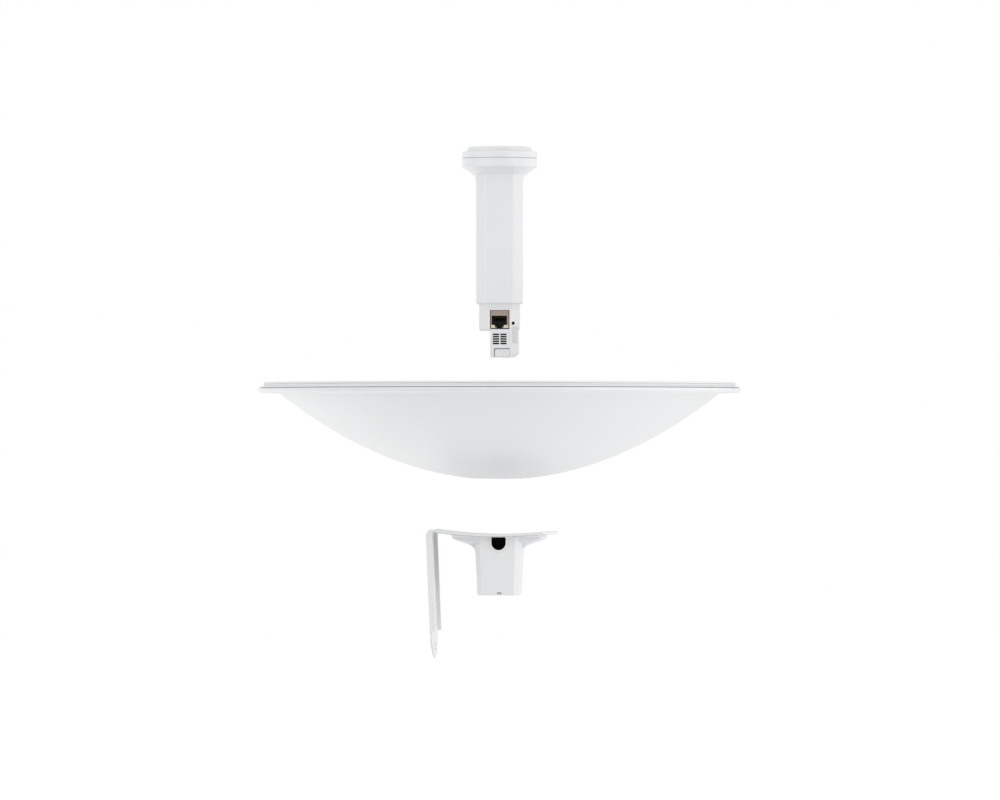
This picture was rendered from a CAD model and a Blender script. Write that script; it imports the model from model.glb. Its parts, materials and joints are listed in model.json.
"""Looks of a parabolic dish antenna: fine surfaces, finishes, floor, light and camera.

Metres, +Z up. The mount stands still, the dish and the feed hang above it on one axis. Shapes
are written in millimetres about that axis, with heights from the dish's outer vertex, and the
mount's shapes in its own slightly turned axes.
"""

import json
from contextlib import contextmanager
from functools import cache
from math import asin, atan, atan2, cos, pi, radians, sin, tan

import bmesh
import bpy
import numpy as np
from bpy.props import FloatProperty, FloatVectorProperty, IntProperty, PointerProperty
from mathutils import Matrix, Vector


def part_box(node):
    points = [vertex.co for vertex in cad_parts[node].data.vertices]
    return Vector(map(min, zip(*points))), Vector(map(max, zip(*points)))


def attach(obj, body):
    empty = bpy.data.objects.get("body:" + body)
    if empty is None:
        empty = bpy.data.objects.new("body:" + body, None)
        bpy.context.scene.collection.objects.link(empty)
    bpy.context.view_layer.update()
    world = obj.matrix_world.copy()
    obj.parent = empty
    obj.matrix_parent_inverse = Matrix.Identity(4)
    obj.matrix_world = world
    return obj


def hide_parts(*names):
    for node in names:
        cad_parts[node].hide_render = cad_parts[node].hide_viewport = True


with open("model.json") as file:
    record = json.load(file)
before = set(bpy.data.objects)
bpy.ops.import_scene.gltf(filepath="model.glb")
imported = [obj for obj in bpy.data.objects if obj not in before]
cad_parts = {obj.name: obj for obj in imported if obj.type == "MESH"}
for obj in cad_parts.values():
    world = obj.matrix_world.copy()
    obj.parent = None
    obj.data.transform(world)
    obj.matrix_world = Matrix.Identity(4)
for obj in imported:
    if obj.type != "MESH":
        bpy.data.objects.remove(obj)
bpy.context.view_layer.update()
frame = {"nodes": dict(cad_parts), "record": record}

bl_info = {
    "name": "Parabolic dish antenna",
    "version": (1, 0, 0),
    "blender": (4, 5, 0),
    "location": "View3D > Sidebar > Antenna",
    "description": "Builds the fine surfaces and finishes of a dish antenna in three groups",
    "category": "Add Mesh",
}

MM = 0.001

# The feed, in millimetres
LID_TOP = 291.8
HEAD_RADIUS = 32.8
HEAD_BOTTOM = 273.4
SEAM_ROUND = 0.35
HEAD_WALL = HEAD_RADIUS - SEAM_ROUND
STEM_HALF = 20.5
STEM_FLAT = 12.2
STEM_BOTTOM = 153.6
BASE_HALF = 17.9
BASE_FRONT = -16.5
BASE_SIDE_FLAT = 9.0
BASE_FLAT = 10.3
TONGUE_FLAT = 10.2
TONGUE_RIGHT = 17.1
WINDOW_HALF = (3.4, 7.05)
WINDOW_GAP = 0.05

# The dish and the mount, in millimetres; bolts and screws by their half spacings
DISH_FOUR_FOCAL = 492.0
DISH_KEY = 18.9
DISH_KEY_FLAT = 12.4
BOLTS = (26, 26)
BOLT_RADIUS = 2.75
PLATE_FOUR_FOCAL = 740.0
PLATE_TOP = -48.9
PLATE_SHEET = 2.0
PLATE_HALF_WIDTH = 32.0
PLATE_END_RADIUS = 51.2
PLATE_KEY = (19.4, 13.6)
BEND_RADIUS = 5.5
ARM_Z = -85.0
ARM_TOP = -48.4
ARM_X_AT_TOP = -62.2
ARM_BOTTOM = -156.6
ARM_END_RADIUS = 40.0
SCREWS = (33, 11)
CUP_BOTTOM = -101.1
CUP_FLOOR = -99.1
CUP_WALL = 1.0
CUP_BEVEL = 4.9
CUP_ROUND = 1.2
WING_ROUND = 1.0
SHARP = 0.01
NOTCH_CENTRE = (0.6, -55.25)
NOTCH_HALF = 6.25

# Wing sections up the housing: height, reach from the axis, half width and corner rounding
WINGS = (
    (-66.5, 20.02, 11.6, 2.0),
    (-62.4, 20.6, 12.0, 3.0),
    (-59.7, 22.1, 12.3, 4.0),
    (-57.9, 24.1, 12.8, 5.0),
    (-56.6, 26.6, 13.6, 6.0),
    (-55.6, 29.7, 14.8, 7.5),
    (-54.7, 32.7, 16.4, 9.5),
    (-53.6, 35.8, 17.9, 11.2),
    (-52.4, 38.7, 19.0, 12.3),
    (-51.2, 40.5, 19.5, 12.9),
    (-50.4, 41.0, 19.6, 13.0),
)

# Directions from which the sky is brighter or darker, each with its strength in the settings
SKY = {
    "above": (0, 0, 1),
    "below": (0, 0, -1),
    "right": (1, 0, 0),
    "right_below": (0.622, 0.251, -0.742),
    "front": (0, -0.894, -0.448),
    "left_front": (-0.707, -0.707, 0),
    "left_back": (-0.452, 0.603, -0.658),
    "right_back": (0.452, 0.603, -0.658),
}

# The dish axis and the mount's turn, read from the frame
LID_LOW, LID_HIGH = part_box("feed_lid")
AXIS = Vector(((LID_LOW.x + LID_HIGH.x) / 2, (LID_LOW.y + LID_HIGH.y) / 2, LID_HIGH.z - LID_TOP * MM))
ARM_NORMAL = Vector(frame["record"]["mounts"][0]["axis"])
MOUNT_TURN = -atan2(ARM_NORMAL.y, -ARM_NORMAL.x)
ARM_TILT = asin(-ARM_NORMAL.z)
ARM_HEADING = 1.5 * pi + ARM_TILT


# Settings


def linear(text):
    """Linear RGB of an sRGB hex colour."""
    value = np.array([int(text[i : i + 2], 16) / 255 for i in (1, 3, 5)])
    light = np.where(value <= 0.04045, value / 12.92, ((value + 0.055) / 1.055) ** 2.4)
    return tuple(float(part) for part in light)


def colour_property(name, text, description):
    """A colour field whose default is an sRGB hex value."""
    return FloatVectorProperty(
        name=name, description=description, subtype="COLOR", size=3, min=0, max=1, default=linear(text)
    )


def steps_property(name, steps, least, description):
    """A field for the number of columns of a round shape."""
    return IntProperty(name=name, description=description, default=steps, min=least)


def length_property(name, millimetres, description):
    """A length field whose default is in millimetres."""
    return FloatProperty(name=name, description=description, default=millimetres * MM, unit="LENGTH")


def light_property(name, strength, description):
    """A field for the strength of a light."""
    return FloatProperty(name=name, description=description, default=strength)


class AntennaColours(bpy.types.PropertyGroup):
    """Colours of the finishes, each under its finish's name."""

    white_powder_coat: colour_property("Powder coat", "#E6E7E8", "Dish and bracket")
    white_moulded_plastic: colour_property("Moulding", "#E7E8E9", "Feed and rear housing")
    light_grey_seal: colour_property("Seal", "#D3D4D6", "Ring in the seam of the head")
    grey_window: colour_property("Window", "#D1D2D3", "Strip in the right bevel of the feed")
    tinned_steel: colour_property("Tinned steel", "#D6C2B4", "Shell of the jack")
    cream_plastic: colour_property("Cream plastic", "#D9D4B8", "Corner pieces of the jack")
    black_plastic: colour_property("Black moulding", "#070708", "Inside of the jack and the reset button")
    gilt_contact: colour_property("Gold", "#6A5F4C", "Contact wires")
    black_rubber: colour_property("Liner", "#050505", "Lining of the housing")
    dark_mesh: colour_property("Screen", "#0E0E0F", "Mesh behind the vents")
    zinc_plated_steel: colour_property("Zinc", "#C4C6C6", "Screws of the housing")


class AntennaSizes(bpy.types.PropertyGroup):
    """Sizes of the fine forms."""

    round_steps: steps_property("Round steps", 256, 48, "Columns round a turned piece")
    dish_steps: steps_property("Dish steps", 480, 96, "Columns round the dish")
    stem_round: length_property("Stem edge", 1.3, "Reach of the rounding on the stem's edges")
    lid_dome: length_property("Lid dome", 0.7, "Fall of the lid's top from centre to edge")
    jack_gap: length_property("Jack gap", 0.6, "Open line round the jack's shell")
    sheet_round: length_property("Sheet edge", 0.45, "Rounding of the bracket's edges")
    notch_bead: length_property("Notch bead", 0.95, "Radius of the bead round the cable notch")


class AntennaStage(bpy.types.PropertyGroup):
    """Floor and light."""

    floor_drop: length_property("Floor drop", 900, "Height of the floor under the origin")
    left_power: light_property("Left strip", 4.8, "Watts of the left strip softbox")
    right_power: light_property("Right strip", 8.0, "Watts of the right strip softbox")
    low_power: light_property("Low softbox", 0.8, "Watts of the softbox beside the mount")
    level: light_property("Level", 0.69, "Sky from all round")
    above: light_property("Above", 0.4, "Sky added from above")
    below: light_property("Below", -0.22, "Sky added from below")
    right: light_property("Right", 0.66, "Sky added from the right")
    right_below: light_property("Right below", 0.24, "Sky added from below right")
    front: light_property("Front", -0.72, "Sky added from the front, a little below")
    left_front: light_property("Left front", 0.72, "Sky added from the left front")
    left_back: light_property("Left back", 0.97, "Sky added from behind and below, left")
    right_back: light_property("Right back", 0.13, "Sky added from behind and below, right")


# Outlines and rings


def arc(centre, radius, start, end, steps=12):
    """Points on a circle from one angle to another."""
    angle = np.linspace(start, end, steps + 1)
    return np.column_stack([centre[0] + radius * np.cos(angle), centre[1] + radius * np.sin(angle)])


def rounded(corners, reach, steps=5):
    """Closed outline whose corners are curves: each runs from one reach before the corner to one
    reach after it, as a quadratic curve pulled towards the corner point. A reach takes up no
    more than a given share of the side."""
    most = 0.45
    corners = np.asarray(corners, float)
    reach = np.broadcast_to(np.asarray(reach, float).reshape(-1, 1), (len(corners), 1))
    back = np.roll(corners, 1, 0) - corners
    ahead = np.roll(corners, -1, 0) - corners
    back_length = np.linalg.norm(back, axis=1, keepdims=True)
    ahead_length = np.linalg.norm(ahead, axis=1, keepdims=True)
    start = corners + back / back_length * np.minimum(reach, most * back_length)
    end = corners + ahead / ahead_length * np.minimum(reach, most * ahead_length)
    t = np.linspace(0, 1, steps + 1)[None, :, None]
    curve = (1 - t) ** 2 * start[:, None] + 2 * t * (1 - t) * corners[:, None] + t**2 * end[:, None]
    return curve.reshape(-1, 2)


def rectangle(left, right, low, high, inset=0.0):
    """Corners of a rectangle drawn in by an inset."""
    left, right, low, high = left + inset, right - inset, low + inset, high - inset
    return [(left, low), (right, low), (right, high), (left, high)]


def octagon(half_x, front, back, flat, side):
    """Corners of the eight-sided section that stem and base share, anticlockwise from above."""
    return [
        (-flat, front), (flat, front), (half_x, -side), (half_x, side),
        (flat, back), (-flat, back), (-half_x, side), (-half_x, -side),
    ]


def square_key(half, flat):
    """A square with its corners cut off."""
    return octagon(half, -half, half, flat, flat)


def four_corners(x, y):
    """The four places (x, y) of a fastener pattern."""
    return [(-x, -y), (x, -y), (x, y), (-x, y)]


def at_height(outline, z):
    """A ring of (x, y) points at a height, or at a height for each point."""
    return np.insert(outline, 2, z, 1)


def in_depth(outline, y):
    """A ring of (x, z) points in the plane at y."""
    return np.insert(outline, 1, y, 1)


def in_width(outline, x):
    """A ring of (y, z) points in the plane at x."""
    return np.insert(outline, 0, x, 1)


def foot_steps(depth, count):
    """Pairs of inset and rise that draw a shape in over a quarter circle at its lower end."""
    angle = np.linspace(0, pi / 2, count)
    return list(zip(depth * (1 - np.sin(angle)), depth * (1 - np.cos(angle))))


def spun(profile, steps):
    """Grid of a surface of revolution: point (radius, z) of the profile goes round the axis as
    (radius cos a, radius sin a, z)."""
    radius, z = np.asarray(profile, float).T[:, :, None]
    angle = np.linspace(0, 2 * pi, steps, endpoint=False)
    x = radius * np.cos(angle)
    return np.stack([x, radius * np.sin(angle), np.broadcast_to(z, x.shape)], -1)


# Meshes


def skin(name, rings, ends="capped"):
    """Mesh of a grid of points in millimetres, rows along the shape and columns round it. The
    columns close on themselves. The ends are capped by one face each, or joined in a ring."""
    grid = np.asarray(rings, float)
    rows, columns = grid.shape[:2]
    index = np.arange(rows * columns).reshape(rows, columns)
    if ends == "joined":
        index = np.vstack([index, index[:1]])
    after = np.roll(index, -1, 1)
    faces = np.stack([index[:-1], after[:-1], after[1:], index[1:]], -1).reshape(-1, 4).tolist()
    if ends == "capped":
        faces += [index[0, ::-1].tolist(), index[-1].tolist()]
    mesh = bpy.data.meshes.new(name)
    mesh.from_pydata((grid.reshape(-1, 3) * MM).tolist(), [], faces)
    return cleaned(mesh)


@contextmanager
def edited(mesh):
    """Opens the mesh for edits and writes it back with all faces pointing outwards."""
    bm = bmesh.new()
    bm.from_mesh(mesh)
    yield bm
    bmesh.ops.recalc_face_normals(bm, faces=bm.faces)
    bm.to_mesh(mesh)
    bm.free()


def cleaned(mesh):
    """The mesh with doubled points merged and empty faces gone."""
    with edited(mesh) as bm:
        bmesh.ops.remove_doubles(bm, verts=bm.verts, dist=0.002 * MM)
        bmesh.ops.dissolve_degenerate(bm, edges=bm.edges, dist=0.001 * MM)
    return mesh


def boxes(name, lows, highs):
    """One mesh of several separate blocks, each between its low and its high corner."""
    lows = np.asarray(lows, float).reshape(-1, 1, 3)
    highs = np.asarray(highs, float).reshape(-1, 1, 3)
    corner = np.array([[x, y, z] for z in (0, 1) for x, y in ((0, 0), (1, 0), (1, 1), (0, 1))])
    points = lows + (highs - lows) * corner
    sides = [[0, 3, 2, 1], [4, 5, 6, 7], [0, 1, 5, 4], [1, 2, 6, 5], [2, 3, 7, 6], [3, 0, 4, 7]]
    faces = np.array(sides) + 8 * np.arange(len(points)).reshape(-1, 1, 1)
    mesh = bpy.data.meshes.new(name)
    mesh.from_pydata((points.reshape(-1, 3) * MM).tolist(), [], faces.reshape(-1, 4).tolist())
    return mesh


def prism(name, outline, ring, start, end):
    """An outline carried straight from start to end, by at_height, in_depth or in_width."""
    return skin(name, [ring(outline, place) for place in (start, end)])


def turned(name, profile, steps=48):
    """A profile of (radius, z) points spun round the axis."""
    return skin(name, spun(profile, steps))


def rod(name, radius, low, high, steps=48):
    """A cylinder along Z."""
    return turned(name, [(radius, low), (radius, high)], steps)


def shift(x, y, z):
    """Transform that moves by millimetres."""
    return Matrix.Translation(Vector((x, y, z)) * MM)


def moved(mesh, matrix):
    """The mesh after a transform."""
    mesh.transform(matrix)
    return mesh


def placed(name, data):
    """A new object in the scene."""
    made = bpy.data.objects.new(name, data)
    bpy.context.scene.collection.objects.link(made)
    return made


def shaped(mesh, operation, *tools):
    """The mesh after an exact Boolean with each tool in turn, which is then deleted."""
    for tool in tools:
        target = placed("shape", mesh)
        other = placed("tool", tool)
        modifier = target.modifiers.new("shape", "BOOLEAN")
        modifier.operation = operation
        modifier.solver = "EXACT"
        modifier.object = other
        graph = bpy.context.evaluated_depsgraph_get()
        result = bpy.data.meshes.new_from_object(target.evaluated_get(graph))
        for made in (target, other):
            bpy.data.objects.remove(made)
        for old in (mesh, tool):
            bpy.data.meshes.remove(old)
        if not result.polygons:
            raise RuntimeError("a Boolean left nothing")
        mesh = result
    return mesh


def piece(name, mesh, body, slot, nodes, at=Matrix(), look=None, sharp=32):
    """A finished piece: its mesh in the row's own frame, smooth apart from its sharp edges, with
    its finish, riding on its body in the place of the nodes that it stands for. Its finish is
    the one that its slot is named for, unless look names another."""
    turn = MOUNT_TURN if body == "mount" else 0
    mesh.transform(Matrix.Translation(AXIS) @ Matrix.Rotation(turn, 4, "Z") @ at)
    mesh.name = name
    made = placed(name, mesh)
    mesh.shade_smooth()
    mesh.set_sharp_from_angle(angle=radians(sharp))
    mesh.materials.clear()
    mesh.materials.append(finish(look or slot))
    normals = made.modifiers.new("even_shading", "WEIGHTED_NORMAL")
    normals.keep_sharp = True
    normals.weight = 80
    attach(made, body)
    if nodes:
        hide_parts(*nodes)


def dress(node, look):
    """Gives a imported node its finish."""
    target = frame["nodes"][node]
    target.data.materials.clear()
    target.data.materials.append(finish(look))


# Finishes


def set_values(node, **values):
    """Sets a node's own settings, or the value of an input where the name is an input's."""
    for name, value in values.items():
        if hasattr(node, name):
            setattr(node, name, value)
        else:
            node.inputs[name.replace("_", " ")].default_value = value


def add(tree, kind, links=(), **values):
    """One shader node with its values; links pairs an input with another node's output socket."""
    made = tree.nodes.new(kind)
    set_values(made, **values)
    for name, source in links:
        tree.links.new(source, made.inputs[name])
    return made


def per_metre(size_mm):
    """Pattern scale on coordinates in metres for a feature of that size."""
    return 1000 / size_mm


class Finish:
    """A material in its colour from the settings, whose patterns read Object coordinates and have
    real sizes in millimetres."""

    def __init__(self, name):
        self.colour = np.array(getattr(bpy.context.scene.antenna_colours, name))
        self.material = bpy.data.materials.new(name)
        self.material.use_nodes = True
        self.material.diffuse_color = self.shade(1)
        self.tree = self.material.node_tree
        self.shader = self.tree.nodes["Principled BSDF"]
        self.where = add(self.tree, "ShaderNodeTexCoord").outputs["Object"]

    def shade(self, factor):
        """The colour made lighter or darker by a factor."""
        return (*np.minimum(self.colour * factor, 1), 1)

    def even(self, roughness, **values):
        """Values that are the same all over, on the shader's sockets."""
        set_values(self.shader, Base_Color=self.shade(1), Roughness=roughness, **values)

    def noise(self, size, detail=2.0, where=None):
        """Noise whose cells have a size."""
        links = [("Vector", where or self.where)]
        values = {"Scale": per_metre(size), "Detail": detail, "Roughness": 0.5}
        return add(self.tree, "ShaderNodeTexNoise", links, **values).outputs["Fac"]

    def waves(self, direction, size):
        """Waves across a direction. About three of them fit into the size."""
        links = [("Vector", self.where)]
        values = {"bands_direction": direction, "Scale": per_metre(size)}
        return add(self.tree, "ShaderNodeTexWave", links, **values).outputs["Fac"]

    def tint(self, factor, dark, light):
        """Colour that drifts between a darker and a lighter shade."""
        mix = add(self.tree, "ShaderNodeMix", [("Factor", factor)], data_type="RGBA")
        slots = [socket for socket in mix.inputs if socket.type == "RGBA"]
        slots[0].default_value = self.shade(dark)
        slots[1].default_value = self.shade(light)
        colour = [socket for socket in mix.outputs if socket.type == "RGBA"][0]
        self.tree.links.new(colour, self.shader.inputs["Base Color"])

    def gloss(self, factor, low, high):
        """Roughness that varies between two values."""
        spread = add(self.tree, "ShaderNodeMapRange", [("Value", factor)], To_Min=low, To_Max=high)
        self.tree.links.new(spread.outputs["Result"], self.shader.inputs["Roughness"])

    def relief(self, height, depth):
        """Relief of a real depth."""
        bump = add(self.tree, "ShaderNodeBump", [("Height", height)], Distance=depth * MM, Strength=1.0)
        self.tree.links.new(bump.outputs["Normal"], self.shader.inputs["Normal"])


def white_powder_coat(coat):
    """Polyester powder coat on pressed steel: satin, with a faint orange peel of some 1.5 mm."""
    coat.even(0.4, IOR=1.5)
    coat.tint(coat.noise(60), 0.985, 1.01)
    coat.gloss(coat.noise(9), 0.37, 0.43)
    coat.relief(coat.noise(1.6, 1.0), 0.012)


def white_moulded_plastic(plastic):
    """ASA moulded against a spark-eroded tool: satin, its 0.3 mm grain drawn at 0.7 mm so that
    it shows, and a slow drift of tone from the melt's flow."""
    plastic.even(0.36, IOR=1.51)
    plastic.tint(plastic.noise(35), 0.985, 1.01)
    plastic.gloss(plastic.noise(4), 0.33, 0.4)
    plastic.relief(plastic.noise(0.7, 3.0), 0.01)


def light_grey_seal(rubber):
    """Grey TPE seal: matt, with fine mould dust."""
    rubber.even(0.62)
    rubber.tint(rubber.noise(3), 0.93, 1.04)
    rubber.relief(rubber.noise(0.5), 0.02)


def grey_window(strip):
    """Frosted polycarbonate light window: smooth skin over a cloudy body."""
    strip.even(0.22, IOR=1.58)
    strip.tint(strip.noise(2.5), 0.96, 1.03)
    strip.gloss(strip.noise(1.2), 0.18, 0.28)


def tinned_steel(tin):
    """Tinned sheet of the jack's shell: warm and a little cloudy, with drawing lines along X."""
    tin.even(0.34, Metallic=1.0)
    stretched = add(tin.tree, "ShaderNodeMapping", [("Vector", tin.where)], Scale=(0.08, 1, 1))
    lines = tin.noise(0.35, 3.0, stretched.outputs["Vector"])
    tin.tint(lines, 0.82, 1.08)
    tin.gloss(tin.noise(1.5), 0.26, 0.42)
    tin.relief(lines, 0.01)


def cream_plastic(nylon):
    """Natural nylon corner pieces of the jack: waxy and slightly mottled."""
    nylon.even(0.4, IOR=1.53)
    nylon.tint(nylon.noise(0.8), 0.94, 1.03)


def black_plastic(moulding):
    """Glass-filled PBT: near black, with a dry 0.4 mm grain."""
    moulding.even(0.5)
    moulding.gloss(moulding.noise(0.6), 0.42, 0.6)
    moulding.relief(moulding.noise(0.4), 0.015)


def gilt_contact(wire):
    """Gold flash on bronze wire, slightly uneven in tone and polish."""
    wire.even(0.28, Metallic=1.0)
    wire.tint(wire.noise(0.3), 0.85, 1.05)
    wire.gloss(wire.noise(0.5), 0.22, 0.36)


def black_rubber(liner):
    """EPDM sheet: dead matt, so that it reads black through the notch."""
    liner.even(0.9, Specular_IOR_Level=0.1)
    liner.relief(liner.noise(0.8), 0.03)


def dark_mesh(screen):
    """Woven screen behind the vents: 0.5 mm threads 1 mm apart, drawn as crossed waves in relief."""
    screen.even(0.65, Specular_IOR_Level=0.2)
    three_threads = 3.1
    crossed = [(0, screen.waves("X", three_threads)), (1, screen.waves("Z", three_threads))]
    threads = add(screen.tree, "ShaderNodeMath", crossed, operation="MAXIMUM").outputs["Value"]
    screen.tint(threads, 0.4, 1)
    screen.relief(threads, 0.15)


def zinc_plated_steel(zinc):
    """Bright zinc on steel screws, a little cloudy."""
    zinc.even(0.3, Metallic=1.0)
    zinc.tint(zinc.noise(1.2), 0.86, 1.04)
    zinc.gloss(zinc.noise(0.4), 0.24, 0.38)


FINISHES = {
    look.__name__: look
    for look in (
        white_powder_coat, white_moulded_plastic, light_grey_seal, grey_window, tinned_steel,
        cream_plastic, black_plastic, gilt_contact, black_rubber, dark_mesh, zinc_plated_steel,
    )
}


@cache
def finish(name):
    """The material of that name, made once by the function of that name."""
    made = Finish(name)
    FINISHES[name](made)
    return made.material


# Dish


def bowl_outside(radius):
    """Height of the outer face, radius squared over four focal lengths."""
    return radius**2 / DISH_FOUR_FOCAL


def bowl_inside(radius, sheet=1.2):
    """Height of the inner face, one sheet along the normal."""
    return bowl_outside(radius) + sheet * np.sqrt(1 + (2 * radius / DISH_FOUR_FOCAL) ** 2)


def key_radius(angle, half, flat, softness=60):
    """Distance from the axis to a square key's edge: the nearest of its flats and bevels, taken
    as a soft maximum of their reciprocals so that the corners are slightly round."""
    across = np.abs(np.cos(angle)) / half
    along = np.abs(np.sin(angle)) / half
    bevel = (np.abs(np.cos(angle)) + np.abs(np.sin(angle))) / (half + flat)
    return (across**softness + along**softness + bevel**softness) ** (-1 / softness)


def dish_grid(steps):
    """The reflector's closed skin. Its rows run from the key's edge up the inside, round the
    raised ring with its hem seam and the rolled bead with its fold, and back down the outside.
    Near the axis each row's radius eases from the key's outline into a circle."""
    circle_from, inside_end, outside_end = 58.0, 201.6, 191.6
    angle = np.linspace(0, 2 * pi, steps, endpoint=False)
    key = key_radius(angle, DISH_KEY, DISH_KEY_FLAT)

    def rows(start, end, count, height):
        radii = np.linspace(start, end, count)[:, None]
        share = np.clip((radii - DISH_KEY) / (circle_from - DISH_KEY), 0, 1)
        radius = np.where(radii >= circle_from, radii, key * (1 - share) + radii * share)
        return np.stack([radius * np.cos(angle), radius * np.sin(angle), height(radius)], -1)

    bead, bead_radius = (208.4, 78.6), 2.8
    rim = np.vstack([
        arc((202.9, 84.5), 0.7, pi * 0.75, pi / 2, 4),
        arc((205.4, 84.1), 1.1, pi / 2, 0, 8),
        [(206.5, 83.65), (205.6, 83.55), (205.6, 83.15), (206.5, 83.05)],
        [(206.5, 82.3), (206.35, 81.6), (206.3, 81.2), (206.8, 81.0)],
        arc(bead, bead_radius, radians(104), radians(41), 10),
        [(208.2, 80.4), (208.2, 79.65)],
        arc(bead, bead_radius, radians(21), -pi / 2, 14),
        [(200.0, 75.8), (196.0, 75.8), (194.2, 75.6), (192.8, 75.25)],
    ])
    return np.concatenate([
        rows(DISH_KEY, inside_end, 66, bowl_inside),
        spun(rim, steps),
        rows(outside_end, DISH_KEY, 64, bowl_outside),
    ])


def make_dish(sizes):
    """The reflector with its bolt holes."""
    dish = skin("pressed_dish", dish_grid(sizes.dish_steps), "joined")
    turn = Matrix.Rotation(MOUNT_TURN, 4, "Z")
    holes = [
        moved(rod("bolt_hole", BOLT_RADIUS, -5, 15), turn @ shift(x, y, 0)) for x, y in four_corners(*BOLTS)
    ]
    dish = shaped(dish, "DIFFERENCE", *holes)
    piece("pressed_dish", dish, "dish", "white_powder_coat", ["dish_reflector"])


# Head and stem of the feed


def lid_profile(dome):
    """The lid: flat underneath, a short upright wall, a soft chamfer and a top that falls from
    the centre with the square of the radius."""
    low, wall, radius, shoulder = 287.04, 289.4, 28.2, 25.6
    bevel, edge = 0.12, 0.9
    run = np.linspace(shoulder, 0, 14)
    return np.vstack([
        [(0, low), (radius - bevel, low), (radius, low + bevel), (radius, wall - 0.3)],
        arc((radius - edge, wall), edge, 0, radians(38), 5),
        np.column_stack([run, LID_TOP - dome / MM * (run / shoulder) ** 2]),
    ])


def cap_profile():
    """The upper half of the head, with a rounded top edge and a small radius at the seam."""
    low, top, edge = 281.3, 287.0, 1.3
    return np.vstack([
        [(0, low), (HEAD_WALL, low)],
        arc((HEAD_WALL, low + SEAM_ROUND), SEAM_ROUND, -pi / 2, 0, 4),
        arc((HEAD_RADIUS - edge, top - edge), edge, 0, pi / 2, 8),
        [(27.5, top), (0, top)],
    ])


def seal_profile():
    """The ring in the seam, with a round outer face."""
    low, high, outer, inner, bulge = 280.85, 281.25, 32.4, 27.0, 0.1
    middle = (low + high) / 2
    return [(inner, low), (outer - bulge, low), (outer, middle), (outer - bulge, high), (inner, high)]


def flare_profile():
    """The lower half of the head and the flare: upright wall, cone, then a fillet into the stem."""
    top, edge = 280.8, 0.9
    foot, fillet = 260.2, 9.0
    cone_end = (23.4, 266.9)
    slope = atan2(HEAD_BOTTOM - cone_end[1], HEAD_WALL - cone_end[0])
    return np.vstack([
        [(0, top), (HEAD_WALL, top)],
        arc((HEAD_WALL, top - SEAM_ROUND), SEAM_ROUND, pi / 2, 0, 4),
        arc((HEAD_RADIUS - edge, HEAD_BOTTOM + 0.7), edge, 0, -pi / 2 + slope, 6),
        arc((STEM_HALF - 0.05 + fillet, foot), fillet, pi / 2 + slope, pi, 20),
        [(0, foot)],
    ])


def stem_ring(z, reach, inset=0.0):
    """Rounded octagon of the stem at a height, drawn in by an inset on all eight sides."""
    flat_share = 0.41
    return at_height(rounded(square_key(STEM_HALF - inset, STEM_FLAT - inset * flat_share), reach), z)


def stem_grid(reach):
    """The eight-sided stem: one rounded octagon carried up, drawn in over a quarter circle at its
    lower end."""
    rings = [stem_ring(STEM_BOTTOM + rise, reach, inset) for inset, rise in foot_steps(1.4, 6)]
    return rings + [stem_ring(z, reach) for z in np.linspace(STEM_BOTTOM + 4, HEAD_BOTTOM + 2, 30)]


def facet_cutter(side):
    """Cutter for the flat face that runs up the flare, in front for side -1 and behind for 1. Its
    profile of (y, z) points goes up the stem and then out with the flare, 0.9 mm deeper than the
    round surface at x = half."""
    half, deeper, low = 12.1, 0.9, 256.0
    near, far = STEM_HALF - 0.1, 2 * HEAD_RADIUS
    wall_points = 13
    radius, z = flare_profile()[wall_points:-1].T
    depth = np.maximum(np.sqrt(np.maximum(radius**2 - half**2, 0)) - deeper, near)
    outline = np.vstack([(far, z[0]), np.column_stack([depth, z]), (near, low), (far, low)])
    return prism("facet", outline * (side, 1), in_width, -half, half)


def make_head(sizes):
    """The head's lid, cap and the ring in the seam."""
    steps = sizes.round_steps
    lid = turned("lid_disc", lid_profile(sizes.lid_dome), steps)
    cap = turned("head_cap", cap_profile(), steps)
    ring = skin("seam_ring", spun(seal_profile(), steps), "joined")
    piece("lid_disc", lid, "feed", "white_moulded_plastic", ["feed_lid"])
    piece("head_cap", cap, "feed", "white_moulded_plastic", ["feed_cap"])
    piece("seam_ring", ring, "feed", "light_grey_seal", ["head_seal"])


def make_stem(sizes):
    """The lower head, the flare and the stem as one body, with flat faces at front and back."""
    column = turned("stem_shell", flare_profile(), sizes.round_steps)
    column = shaped(column, "DIFFERENCE", facet_cutter(-1), facet_cutter(1))
    column = shaped(column, "UNION", skin("stem", stem_grid(sizes.stem_round / MM)))
    piece("stem_shell", column, "feed", "white_moulded_plastic", ["feed_column"], sharp=20)


# Base of the feed


def base_ring(z, inset=0.0, front=BASE_FRONT, flat=BASE_FLAT):
    """Rounded section of the base at a height, drawn in by an inset."""
    back, flat_share, edge = -BASE_FRONT - inset, 0.4, 1.0
    corners = octagon(BASE_HALF - inset, front + inset, back, flat - flat_share * inset, BASE_SIDE_FLAT)
    return at_height(rounded(corners, edge), z)


def tongue_ring(z, right, inset=0.0):
    """Rounded section of the tongue: the base's front and right bevel, cut off at left and back."""
    left, back, front = -8.3 + inset, 4.0 - inset, BASE_FRONT + inset
    right, edge = right - inset, 0.7
    corners = [(left, front), (TONGUE_FLAT, front), (right, -BASE_SIDE_FLAT), (right, back), (left, back)]
    return at_height(rounded(corners, edge), z)


def bevel_place(x, z, right, flat):
    """Transform to a point on the right bevel, whose local Z runs out along its normal."""
    run = Vector((right - flat, -BASE_SIDE_FLAT - BASE_FRONT))
    y = BASE_FRONT + (x - flat) / run.x * run.y
    turn = Matrix.Rotation(atan2(-run.x, run.y) + pi / 2, 4, "Z") @ Matrix.Rotation(pi / 2, 4, "X")
    return shift(x, y, z) @ turn


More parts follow.
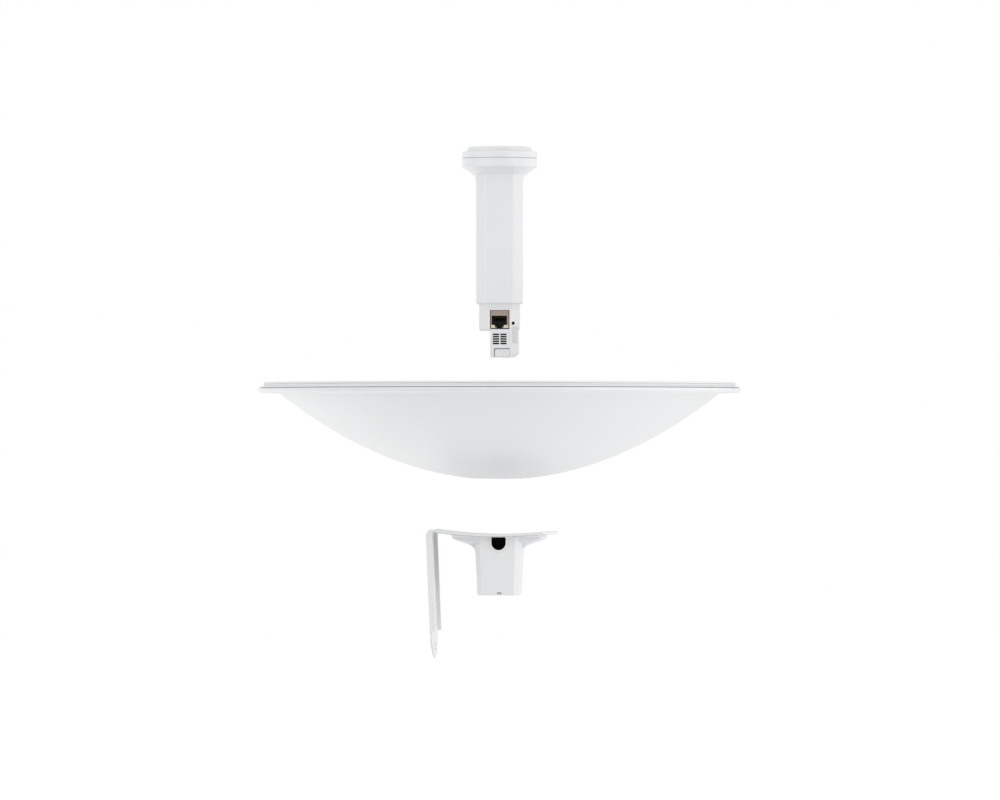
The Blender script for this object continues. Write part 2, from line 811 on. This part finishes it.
def window_place():
    """Transform to the middle of the light window on the right bevel."""
    return bevel_place(13.225, 126.5, TONGUE_RIGHT, TONGUE_FLAT)


def make_window():
    """The light window: a rounded strip whose face is drawn in at its edge."""
    wide, tall = WINDOW_HALF
    corner = 0.5
    rings = [
        at_height(rounded(rectangle(-wide, wide, -tall, tall, inset), corner, 4), z)
        for inset, z in ((0, -0.8), (0, -0.08), (0.12, 0.06), (0.4, 0.12))
    ]
    window = skin("light_window", rings)
    piece("light_window", window, "feed", "grey_window", ["status_window"], window_place())


def vent_blocks():
    """Five rows of slots in two columns, as one cutter."""
    top, pitch, half, depth = 126.9, 2.0, 0.7, 1.9
    slots = [
        (left, right, top - pitch * row) for row in range(5) for left, right in ((-5.9, -0.4), (0.75, 6.1))
    ]
    lows = [(left, BASE_FRONT - 5, z - half) for left, right, z in slots]
    highs = [(right, BASE_FRONT + depth, z + half) for left, right, z in slots]
    return boxes("vents", lows, highs)


def plug_rings():
    """Sections of the shoulder and base, from a foot drawn in over a quarter circle upwards."""
    low, shoulder_front, shoulder_flat = 130.2, -18.25, 11.5
    return [
        *[base_ring(low + rise, inset) for inset, rise in foot_steps(1.9, 5)],
        base_ring(148.6),
        base_ring(149.6, -0.1),
        base_ring(152.5, 0.0, shoulder_front, shoulder_flat),
        base_ring(154.2, 0.0, shoulder_front, shoulder_flat),
    ]


def tongue_rings():
    """Sections of the tongue, whose right side slopes in towards its rounded low end."""
    low = 106.9
    return [
        tongue_ring(low, 13.4, 0.6),
        tongue_ring(low + 0.25, 13.6, 0.15),
        tongue_ring(low + 0.7, 14.1),
        tongue_ring(110.3, TONGUE_RIGHT),
        tongue_ring(131.5, TONGUE_RIGHT),
    ]


def make_base():
    """The stepped lower body: shoulder, base and tongue, with pockets for the jack, the latch,
    the vents and the window, and the ringed hole with the reset button's well."""
    body = shaped(skin("plug_body", plug_rings()), "UNION", skin("tongue", tongue_rings()))
    far = -40
    wide, tall = WINDOW_HALF[0] + WINDOW_GAP, WINDOW_HALF[1] + WINDOW_GAP
    body = shaped(
        body, "DIFFERENCE",
        boxes("jack_pocket", (-8.3, far, 131.55), (8.6, -3.2, 148.15)),
        boxes("latch_pocket", (-4.9, far, 100), (8.62, BASE_FRONT + 2.6, 114.9)),
        boxes("vent_chamber", (-6.3, -15.1, 117.6), (7.0, -13.1, 127.6)),
        vent_blocks(),
        moved(boxes("window_pocket", (-wide, -tall, -0.9), (wide, tall, 4)), window_place()),
    )
    button = bevel_place(11.7, 136.7, BASE_HALF, BASE_FLAT)
    oval = button @ Matrix.Diagonal((1.3, 1, 1, 1))
    radius, edge = 2.5, 0.3
    ring = np.vstack([[(0, -1), (radius, -1)], arc((radius - edge, 0), edge, 0, pi / 2, 5), [(0, edge)]])
    body = shaped(body, "UNION", moved(turned("reset_ring", ring), button))
    body = shaped(body, "DIFFERENCE", moved(rod("reset_hole", 1.5, -2.3, 2, 32), oval))
    dimple = [(0, -1.0), (0.5, -1.1), (0.75, -1.5), (1.2, -1.6)]
    wall = [(1.25, 0.2), (1.47, 0.24), (1.47, -2.25), (0, -2.25)]
    piece("reset_well", turned("reset_well", dimple + wall), "feed", "black_plastic", ["reset_button"], oval)
    piece("plug_body", body, "feed", "white_moulded_plastic", ["feed_base"])


def plug_outline():
    """The jack's mouth: wide slot, narrower step and latch key, as (x, z) points."""
    right = [(2.6, 132.2), (2.6, 133.6), (3.85, 133.6), (3.85, 135.2), (6.7, 135.2), (6.7, 143.2)]
    left = np.array(right)[::-1] * (-1, 1)
    return np.vstack([right, left]) + (-0.2, 0)


def front_rings(sides, steps, stations):
    """Rings of a rounded rectangle of (x, z) points, at each station's depth and inset."""
    return [in_depth(rounded(rectangle(*sides, inset), 0.5, steps), y) for y, inset in stations]


def make_jack(sizes):
    """The jack's shell with rounded edges and its mouth, and the pale corner pieces beside the
    latch step."""
    gap = sizes.jack_gap / MM
    face = BASE_FRONT + 0.05
    stations = ((face, gap + 0.3), (face + 0.35, gap), (-3.5, gap))
    shell = shaped(
        skin("jack_shell", front_rings((-8.3, 8.6, 131.8, 148.5), 3, stations)), "DIFFERENCE",
        boxes("hollow", (-7.1, face + 0.6, 132.9), (7.4, 5, 147.2)),
        prism("mouth", plug_outline(), in_depth, BASE_FRONT - 5, 4),
    )
    piece("jack_shell", shell, "feed", "tinned_steel", ["jack_shield"])
    front, back, low, high = face - 0.15, face + 0.1, 132.5, 134.9
    corners = boxes(
        "corner_pieces", [(-7.5, front, low), (3.9, front, low)], [(-4.3, back, high), (7.8, back, high)]
    )
    piece("corner_pieces", corners, "feed", "light_grey_seal", [], look="cream_plastic")


def make_latch():
    """The release latch: a rounded tab with a low rib down its face."""
    front = BASE_FRONT + 0.35
    stations = ((front, 0.35), (front + 0.12, 0.1), (front + 0.35, 0), (front + 1.6, 0))
    rib = rounded([(3.6, -0.5), (4.1, 0.5), (4.8, 0.5), (5.3, -0.5)], 0.3, 4) * (1, -1) + (0, front)
    tab = shaped(
        skin("latch_tab", front_rings((-4.0, 8.6, 107.2, 114.0), 4, stations)), "UNION",
        prism("rib", rib, at_height, 107.9, 113.2),
    )
    piece("latch_tab", tab, "feed", "white_moulded_plastic", ["release_tab"])


# Bracket


def plate_top(x, y):
    """Height of the plate's upper face."""
    return PLATE_TOP + (x**2 + y**2) / PLATE_FOUR_FOCAL


def on_plate(x, y):
    """Transform to a point of the plate's upper face, with Z along its normal."""
    normal = Vector((-2 * x / PLATE_FOUR_FOCAL, -2 * y / PLATE_FOUR_FOCAL, 1))
    turn = Vector((0, 0, 1)).rotation_difference(normal).to_matrix().to_4x4()
    return shift(x, y, plate_top(x, y)) @ turn


def arm_x(z):
    """Where the arm's outer face stands at a height."""
    return ARM_X_AT_TOP + (ARM_TOP - z) * tan(ARM_TILT)


def in_arm():
    """Transform from the arm's own axes into the mount's: origin on its outer face, Z up its tilt."""
    return shift(arm_x(ARM_Z), 0, ARM_Z) @ Matrix.Rotation(-ARM_TILT, 4, "Y")


def up_arm(z):
    """A height as a distance along the arm from the origin of its own axes."""
    return (z - ARM_Z) / cos(ARM_TILT)


def heading_at(x):
    """Direction in which the plate runs at x, going towards the arm."""
    return np.arctan2(-2 * x / PLATE_FOUR_FOCAL, -1) % (2 * pi)


def bend_point(x, start_heading, heading):
    """The bend's outer face where the sheet runs in a given direction, at mid width."""
    in_start, out = start_heading + pi / 2, heading - pi / 2
    centre_x = x + BEND_RADIUS * cos(in_start)
    centre_z = plate_top(x, 0) + BEND_RADIUS * sin(in_start)
    return centre_x + BEND_RADIUS * np.cos(out), centre_z + BEND_RADIUS * np.sin(out)


def bend_start():
    """x at which the bend begins, so that it lands on the arm's face."""
    x = ARM_X_AT_TOP + BEND_RADIUS
    for _ in range(20):
        end_x, end_z = bend_point(x, heading_at(x), ARM_HEADING)
        x += arm_x(end_z) - end_x
    return x


def sheet_mesh(edge_round):
    """The bent sheet. For each y across its width a path runs down the plate, round the bend and
    down the arm; the outer face is that path, and the inner face lies one sheet further along
    the path's normal. Both ends are round in plan, as arcs of x and of z over y."""
    across = PLATE_HALF_WIDTH * np.linspace(-1, 1, 49)[:, None]
    start = bend_start()
    first = heading_at(start)
    share = np.linspace(0, 1, 70)[None, :]
    plate_x = np.sqrt(PLATE_END_RADIUS**2 - across**2) * (1 - share) + start * share
    bend = np.linspace(first, ARM_HEADING, 20)[None, 1:]
    bend_x, bend_z = bend_point(start, first, bend)
    rise = across**2 / PLATE_FOUR_FOCAL
    bend_x = bend_x - rise * sin(ARM_TILT)
    bend_z = bend_z + rise * cos(ARM_TILT)
    tip = ARM_BOTTOM + ARM_END_RADIUS - np.sqrt(ARM_END_RADIUS**2 - across**2)
    down = np.linspace(0, 1, 40)[None, 1:]
    arm_z = bend_z[:, -1:] + (tip - bend_z[:, -1:]) * down
    x = np.hstack([plate_x, bend_x, arm_x(arm_z)])
    z = np.hstack([plate_top(plate_x, across), bend_z, arm_z])
    bend_heading = np.broadcast_to(bend, bend_x.shape)
    normal = np.hstack([heading_at(plate_x), bend_heading, np.full(arm_z.shape, ARM_HEADING)]) + pi / 2
    outer = np.stack([x, np.broadcast_to(across, x.shape), z], -1)
    inner = outer + PLATE_SHEET * np.stack([np.cos(normal), np.zeros_like(normal), np.sin(normal)], -1)
    return plate_skin("bent_sheet", outer, inner, edge_round)


def plate_skin(name, outer, inner, edge_round):
    """A closed skin over two like grids with a wall round their border, its border edges rounded
    by a bevel."""
    rows, columns = outer.shape[:2]
    count = rows * columns
    index = np.arange(count).reshape(rows, columns)
    top = np.stack([index[:-1, :-1], index[1:, :-1], index[1:, 1:], index[:-1, 1:]], -1).reshape(-1, 4)
    border = np.concatenate([index[0], index[1:, -1], index[-1, -2::-1], index[-2:0:-1, 0]])
    ahead = np.roll(border, -1)
    wall = np.stack([border, ahead, ahead + count, border + count], -1)
    mesh = bpy.data.meshes.new(name)
    points = np.concatenate([outer.reshape(-1, 3), inner.reshape(-1, 3)]) * MM
    mesh.from_pydata(points.tolist(), [], np.concatenate([top, top[:, ::-1] + count, wall]).tolist())
    with edited(cleaned(mesh)) as bm:
        rim = [edge for edge in bm.edges if edge.calc_face_angle(0) > radians(60)]
        bmesh.ops.bevel(
            bm, geom=rim, offset=edge_round, offset_type="OFFSET", segments=3, profile=0.5,
            affect="EDGES", clamp_overlap=False,
        )
    return mesh


def flange_rings(near, far):
    """One flange in the arm's own axes: its outline of (x, z) points, carried across in y with
    its edges drawn in at both faces. Its top follows the inside of the bend."""
    depth, corner, rounding = 5.4, 0.4, 0.35
    start = bend_start()
    bend_end = bend_point(start, heading_at(start), ARM_HEADING)[1]
    foot = up_arm(bend_end) + PLATE_HALF_WIDTH**2 / PLATE_FOUR_FOCAL
    bottom = up_arm(-132.3)
    head = arc((BEND_RADIUS, foot), BEND_RADIUS - PLATE_SHEET / 2, radians(95), radians(150), 6)

    def ring(y, inset):
        low, out = bottom + inset, depth - inset
        edge = [(PLATE_SHEET / 2, low), (out - corner, low), (out, low + corner), (out, head[0, 1])]
        return in_depth(np.vstack([edge, head]), y)

    return [ring(near, rounding), ring(near + rounding, 0), ring(far - rounding, 0), ring(far, rounding)]


def slot_outline():
    """The adjusting slot: an arc band about the pivot with round ends, as (y, z) points."""
    radius, half, reach = 30.0, 3.3, radians(17)
    low, high = -pi / 2 - reach, -pi / 2 + reach
    ends = [(radius * cos(a), radius * sin(a)) for a in (high, low)]
    return np.vstack([
        arc((0, 0), radius + half, low, high, 24),
        arc(ends[0], half, high, high + pi, 12)[1:-1],
        arc((0, 0), radius - half, high, low, 24),
        arc(ends[1], half, low + pi, low + 2 * pi, 12)[1:-1],
    ])


def make_bracket(sizes):
    """The bracket: bent sheet, two flanges, keyed hole, bolt holes, screw seats, pivot and slot."""
    outer = PLATE_HALF_WIDTH - 0.15
    inner = outer - PLATE_SHEET
    flanges = [
        moved(skin("flange", flange_rings(near, far)), in_arm())
        for near, far in ((-outer, -inner), (inner, outer))
    ]
    bracket = shaped(sheet_mesh(sizes.sheet_round), "UNION", *flanges)
    key = rounded(square_key(*PLATE_KEY), 1.2)
    hole, head, under_head = 1.8, 3.4, -1.1
    seat = [(hole, -5), (hole, under_head), (head, under_head), (head, 5)]
    at_pivot = in_arm() @ shift(0, 0, up_arm(ARM_BOTTOM + ARM_END_RADIUS))
    bracket = shaped(
        bracket, "DIFFERENCE",
        prism("key", key, at_height, PLATE_TOP - 5, PLATE_TOP + 5),
        *[moved(rod("bolt_hole", BOLT_RADIUS, -5, 10), shift(*xy, PLATE_TOP)) for xy in four_corners(*BOLTS)],
        *[moved(turned("seat", seat), on_plate(*xy)) for xy in four_corners(*SCREWS)],
        moved(rod("pivot", 4.25, -5, 5, 64), at_pivot @ Matrix.Rotation(pi / 2, 4, "Y")),
        moved(prism("slot", slot_outline(), in_width, -5, 5), at_pivot),
    )
    piece("bent_bracket", bracket, "mount", "white_powder_coat", ["mount_bracket"])


# Rear housing


def under_plate(x, y):
    """Just below the plate's lower face, where the slope makes the sheet a little thicker."""
    on_slope, gap = 1.02, 0.04
    return plate_top(x, y) - PLATE_SHEET * on_slope - gap


def cup_half(z):
    """Half width of the cup, which narrows evenly from its shoulder towards its bottom."""
    low, low_half, shoulder, shoulder_half = -97.0, 18.65, -66.5, 20.0
    return low_half + (z - low) / (shoulder - low) * (shoulder_half - low_half)


def smooth_rows(table, count):
    """A table of rows read along a smooth curve through them, cubic from row to row, which runs
    at each row in the direction from the row before to the row after."""
    table = np.asarray(table, float)
    padded = np.vstack([2 * table[0] - table[1], table, 2 * table[-1] - table[-2]])
    place = np.linspace(0, len(table) - 1, count)
    step = np.minimum(place.astype(int), len(table) - 2)
    t = (place - step)[:, None]
    a, b, c, d = (padded[step + i] for i in range(4))
    return 0.5 * (2 * b + (c - a) * t + (2 * a - 5 * b + 4 * c - d) * t**2 + (3 * b - a - 3 * c + d) * t**3)


def round_quarters(corners, rounding):
    """Closed outline of a quarter's corners, from the front flat to the side, mirrored into the
    other three quarters. Each corner is rounded by its own reach."""
    quarter = np.asarray(corners, float)
    other_way = quarter[::-1]
    outline = [quarter * (1, -1), other_way, quarter * (-1, 1), other_way * (-1, -1)]
    return rounded(np.vstack(outline), np.tile([*rounding, *rounding[::-1]], 2), 6)


def cup_outline(half):
    """Octagon of the cup, with as many points as the wing sections."""
    flat = half - CUP_BEVEL
    corners = [(0.4 * flat, half), (flat, half), (half, flat), (half, 0.7 * flat), (half, 0.4 * flat)]
    return round_quarters(corners, [SHARP, CUP_ROUND, CUP_ROUND, SHARP, SHARP])


def wing_outline(half, reach, wing, corner):
    """Octagon of the cup with a wing to each side, out to reach and as wide as wing either way."""
    least = 0.05
    if reach - half < least:
        return cup_outline(half)
    flat = half - CUP_BEVEL
    root, shoulder_x = (half, flat), half
    if wing >= flat:
        root = (flat + half - wing, wing)
        shoulder_x = root[0] + 0.25 * (reach - root[0])
    corners = [(0.4 * flat, half), (flat, half), root, (shoulder_x, wing), (reach, wing)]
    return round_quarters(corners, [SHARP, CUP_ROUND, WING_ROUND, WING_ROUND, corner])


def flange_outline(inset):
    """The thin flange between the wings and the plate, with as many points as the sections."""
    reach, depth, corner = 41.0 - inset, 30.0 - inset, 13.0 - inset
    rounding = [SHARP, CUP_ROUND, WING_ROUND, WING_ROUND, corner]
    return round_quarters([(x, depth) for x in (6, 15, 20, 26, reach)], rounding)


def cup_ring(z, inset=0.0):
    """Octagonal ring of the cup at a height, drawn in by an inset."""
    return at_height(cup_outline(cup_half(z) - inset), z)


def ring_under_plate(outline, below=0.0, highest=0.0):
    """A ring that follows the plate's lower face at a distance, no higher than a given height."""
    return at_height(outline, np.minimum(highest, under_plate(*outline.T) - below))


def housing_rings():
    """The housing's closed skin: octagonal rings up the cup, wing sections read along a smooth
    curve through WINGS, the rim that follows the plate, and the cup's inside down to its floor."""
    inner_round, flange_round = 0.6, 0.3
    wings = smooth_rows(WINGS, 64)
    rings = [
        at_height(cup_outline(cup_half(CUP_BOTTOM) - inset), CUP_BOTTOM + rise)
        for inset, rise in foot_steps(1.1, 6)
    ]
    rings += [cup_ring(z) for z in np.linspace(-99, -67.5, 14)]
    for (z, reach, wing, corner), below in zip(wings, np.linspace(6.0, 1.0, len(wings))):
        rings.append(ring_under_plate(wing_outline(cup_half(z), reach, wing, corner), below, z))
    for inset, below in ((0.4, 0.9), (0.0, 0.7), (0.0, 0.3), (flange_round, 0.0)):
        rings.append(ring_under_plate(flange_outline(inset), below))
    mouth = cup_outline(cup_half(-52.3) - CUP_WALL)
    for share in (0.25, 0.5, 0.75, 1.0):
        rings.append(ring_under_plate(flange_outline(flange_round) * (1 - share) + mouth * share))
    rings += [cup_ring(z, CUP_WALL) for z in (-66.5, CUP_FLOOR + inner_round)]
    rings.append(cup_ring(CUP_FLOOR, CUP_WALL + inner_round))
    return rings


def notch_path(half, top, steps=24):
    """A U about the notch's centre, as (x, z) points from its left top to its right top."""
    x = NOTCH_CENTRE[0]
    return np.vstack([(x - half, top), arc(NOTCH_CENTRE, half, -pi, 0, steps), (x + half, top)])


def bead_grid(path, radius, y):
    """A round bead: a circle of the radius carried along the path, square to it at each point."""
    ahead = np.gradient(path, axis=0)
    ahead /= np.linalg.norm(ahead, axis=1, keepdims=True)
    out = np.column_stack([-ahead[:, 1], ahead[:, 0]])
    angle = np.linspace(0, 2 * pi, 16, endpoint=False)
    x = path[:, :1] + radius * out[:, :1] * np.cos(angle)
    z = path[:, 1:] + radius * out[:, 1:] * np.cos(angle)
    depth = y + radius * np.sin(angle) * np.ones_like(x)
    return np.stack([x, depth, z], -1)


def make_housing(sizes):
    """The plastic cup with its wings, the beaded cable notch, the drain slot and screw holes."""
    face = -cup_half(NOTCH_CENTRE[1])
    radius = sizes.notch_bead / MM
    path = notch_path(NOTCH_HALF + radius, under_plate(0, face) - 0.2)
    housing = skin("cup_and_wings", housing_rings())
    housing = shaped(housing, "UNION", skin("bead", bead_grid(path, radius, face + 0.1)))
    housing = shaped(
        housing, "DIFFERENCE",
        prism("notch", notch_path(NOTCH_HALF, PLATE_TOP), in_depth, -34, face + 8),
        boxes("drain", (-0.8, -25, -99.9), (3.2, -cup_half(CUP_BOTTOM) + 1.6, -98.5)),
        *[moved(rod("screw_hole", 1.8, -5, 2), on_plate(*xy)) for xy in four_corners(*SCREWS)],
    )
    piece("cup_and_wings", housing, "mount", "white_moulded_plastic", ["rear_housing"])


def make_lining():
    """The black strip against the cup's back wall, from its floor to just under the plate."""
    thick, to_wall, narrower = 0.8, 1.3, 4.5
    rings = []
    for z in (-98.8, under_plate(0, 18.5) - 0.15):
        back = cup_half(z) - to_wall
        half = back - narrower
        rings.append(at_height(rectangle(-half, half, back - thick, back), z))
    piece("black_lining", skin("black_lining", rings), "mount", "black_rubber", ["socket_liner"])


def make_screws():
    """Four flat-headed screws with a cross recess, each in its own place on the plate."""
    top, under, radius, edge = -0.1, -0.8, 3.1, 0.25
    shank = [(0, -4.7), (1.1, -4.7), (1.5, -4.3), (1.5, under)]
    rim = [(radius - 0.15, under), (radius, under + 0.15)]
    head = arc((radius - edge, top - edge), edge, 0, pi / 2, 4)
    profile = np.vstack([shank, rim, head, (0, top)])
    for number, (x, y) in enumerate(four_corners(*SCREWS), 1):
        cross = [
            boxes("cross", (-wide, -tall, -0.55), (wide, tall, 1)) for wide, tall in ((1.9, 0.4), (0.4, 1.9))
        ]
        screw = shaped(turned("screw", profile, 64), "DIFFERENCE", *cross)
        node = f"housing_screw_{number}"
        piece(f"cross_screw_{number}", screw, "mount", "zinc_plated_steel", [node], on_plate(x, y))


# Stage


def area_light(name, target, offset, size, power):
    """A softbox at an offset from the target that it faces."""
    data = bpy.data.lights.new(name, "AREA")
    data.shape = "RECTANGLE"
    data.size, data.size_y = size
    data.energy = power
    made = placed(name, data)
    made.location = target + Vector(offset)
    made.rotation_euler = (-Vector(offset)).to_track_quat("-Z", "Y").to_euler()
    made.visible_camera = False


def make_lights(stage):
    """Two strip softboxes in front, left and right, and a small one beside the mount."""
    centre = AXIS + Vector((0, 0, 0.05))
    mount = AXIS + Vector((0, 0, -0.1))
    to_side, to_front, strip = 1.41, -1.41, (0.35, 2.4)
    area_light("left_strip", centre, (-to_side, to_front, 0), strip, stage.left_power)
    area_light("right_strip", centre, (to_side, to_front, 0), strip, stage.right_power)
    area_light("low_softbox", mount, (0.5, -0.6, -0.15), (0.4, 0.4), stage.low_power)


def make_floor(drop):
    """A wide pale floor, far enough below that the frame shows only its paleness."""
    half = 40.0
    mesh = bpy.data.meshes.new("floor")
    mesh.from_pydata([(x, y, -drop) for x, y in four_corners(half, half)], [], [(0, 1, 2, 3)])
    made = placed("floor", mesh)
    material = bpy.data.materials.new("pale_studio_floor")
    material.use_nodes = True
    set_values(
        material.node_tree.nodes["Principled BSDF"], Base_Color=(0.9, 0.9, 0.9, 1), Roughness=0.9,
        Specular_IOR_Level=0, Emission_Color=(1, 1, 1, 1), Emission_Strength=0.5,
    )
    mesh.materials.append(material)
    made.visible_diffuse = False
    made.visible_glossy = False
    made.visible_shadow = False


def sky_strength(tree, stage):
    """Strength of the light from a direction d: the level, and for each direction e of SKY its
    strength times the fourth power of d . e where that is positive."""

    def worked(operation, links, constant, kind="ShaderNodeMath"):
        made = add(tree, kind, links, operation=operation)
        made.inputs[1].default_value = constant
        return made.outputs["Value"]

    where = add(tree, "ShaderNodeTexCoord").outputs["Generated"]
    total = add(tree, "ShaderNodeValue").outputs["Value"]
    total.default_value = stage.level
    for name, direction in SKY.items():
        cosine = worked("DOT_PRODUCT", [(0, where)], direction, "ShaderNodeVectorMath")
        facing = worked("MAXIMUM", [(0, cosine)], 0)
        narrowed = worked("POWER", [(0, facing)], 4)
        total = worked("MULTIPLY_ADD", [(0, narrowed), (2, total)], getattr(stage, name))
    return total


def make_world(stage):
    """White air: pure white where it is seen, and as a source of light brighter from above, from
    both sides and from behind and darker in front and below, as in a studio with an unlit front."""
    world = bpy.data.worlds.new("white_studio")
    bpy.context.scene.world = world
    world.use_nodes = True
    tree = world.node_tree
    tree.nodes.clear()
    white = (1, 1, 1, 1)
    seen = add(tree, "ShaderNodeBackground", Color=white, Strength=1.0)
    lit = add(tree, "ShaderNodeBackground", [("Strength", sky_strength(tree, stage))], Color=white)
    camera_ray = add(tree, "ShaderNodeLightPath").outputs["Is Camera Ray"]
    shaders = [("Fac", camera_ray), (1, lit.outputs["Background"]), (2, seen.outputs["Background"])]
    mix = add(tree, "ShaderNodeMixShader", shaders)
    add(tree, "ShaderNodeOutputWorld", [("Surface", mix.outputs["Shader"])])


def make_camera():
    """The photograph's view: from the front at 7.8 m, 29 mm above the dish's vertex, tipped up by
    0.3 degrees, with a long lens that shows 0.875 mm a pixel at the axis."""
    distance, height, to_right = 7.8, 0.02935, 0.0004
    rise = 46 / 8900
    focal_pixels, picture_width = 8914, 1000
    data = bpy.data.cameras.new("camera")
    data.sensor_width = 36
    data.lens = focal_pixels / picture_width * data.sensor_width
    data.clip_end = 100
    made = placed("camera", data)
    made.location = AXIS + Vector((to_right, -distance, height))
    made.rotation_euler = (pi / 2 + atan(rise), 0, 0)
    bpy.context.scene.camera = made


# Operators


class MakeDish(bpy.types.Operator):
    """Makes the pressed reflector with its ring, rolled bead, keyed hole and bolt holes"""

    bl_idname = "antenna.make_dish"
    bl_label = "Dish"

    def execute(self, context):
        make_dish(context.scene.antenna_sizes)
        return {"FINISHED"}


class MakeHead(bpy.types.Operator):
    """Makes the feed's head: lid, cap and the ring in the seam"""

    bl_idname = "antenna.make_head"
    bl_label = "Feed head"

    def execute(self, context):
        make_head(context.scene.antenna_sizes)
        return {"FINISHED"}


class MakeStem(bpy.types.Operator):
    """Makes the lower head, the flare and the eight-sided stem"""

    bl_idname = "antenna.make_stem"
    bl_label = "Feed stem"

    def execute(self, context):
        make_stem(context.scene.antenna_sizes)
        return {"FINISHED"}


class MakePlug(bpy.types.Operator):
    """Makes the stepped lower body of the feed, its latch and its light window"""

    bl_idname = "antenna.make_plug"
    bl_label = "Feed base"

    def execute(self, context):
        make_base()
        make_latch()
        make_window()
        dress("vent_screen", "dark_mesh")
        return {"FINISHED"}


class MakeJack(bpy.types.Operator):
    """Makes the jack's shell and corner pieces and finishes its insert and contacts"""

    bl_idname = "antenna.make_jack"
    bl_label = "Jack"

    def execute(self, context):
        make_jack(context.scene.antenna_sizes)
        dress("jack_insert", "black_plastic")
        dress("jack_contacts", "gilt_contact")
        return {"FINISHED"}


class MakeMount(bpy.types.Operator):
    """Makes the bracket, the rear housing, its screws and its lining"""

    bl_idname = "antenna.make_mount"
    bl_label = "Mount"

    def execute(self, context):
        make_bracket(context.scene.antenna_sizes)
        make_housing(context.scene.antenna_sizes)
        make_screws()
        make_lining()
        return {"FINISHED"}


class MakeStage(bpy.types.Operator):
    """Makes the floor, the light and the camera"""

    bl_idname = "antenna.make_stage"
    bl_label = "Stage"

    def execute(self, context):
        stage = context.scene.antenna_stage
        make_floor(stage.floor_drop)
        make_world(stage)
        make_lights(stage)
        make_camera()
        context.scene.view_settings.view_transform = "Standard"
        return {"FINISHED"}


OPERATORS = (MakeDish, MakeHead, MakeStem, MakePlug, MakeJack, MakeMount, MakeStage)
SETTINGS = {
    "antenna_colours": AntennaColours,
    "antenna_sizes": AntennaSizes,
    "antenna_stage": AntennaStage,
}


class AntennaPanel(bpy.types.Panel):
    """The antenna's operators and settings in the 3D view's sidebar"""

    bl_idname = "VIEW3D_PT_antenna"
    bl_label = "Dish antenna"
    bl_space_type = "VIEW_3D"
    bl_region_type = "UI"
    bl_category = "Antenna"

    def draw(self, context):
        for operator in OPERATORS:
            self.layout.operator(operator.bl_idname)
        for name in SETTINGS:
            group = getattr(context.scene, name)
            column = self.layout.column()
            for field in group.__annotations__:
                column.prop(group, field)


def register():
    """Adds the settings, the operators and the panel."""
    for name, group in SETTINGS.items():
        bpy.utils.register_class(group)
        setattr(bpy.types.Scene, name, PointerProperty(type=group))
    for item in (*OPERATORS, AntennaPanel):
        bpy.utils.register_class(item)


def unregister():
    """Removes the panel, the operators and the settings."""
    for item in (AntennaPanel, *reversed(OPERATORS)):
        bpy.utils.unregister_class(item)
    for name, group in SETTINGS.items():
        delattr(bpy.types.Scene, name)
        bpy.utils.unregister_class(group)


def main():
    register()
    for operator in OPERATORS:
        family, action = operator.bl_idname.split(".")
        getattr(getattr(bpy.ops, family), action)()


if __name__ == "__main__":
    main()
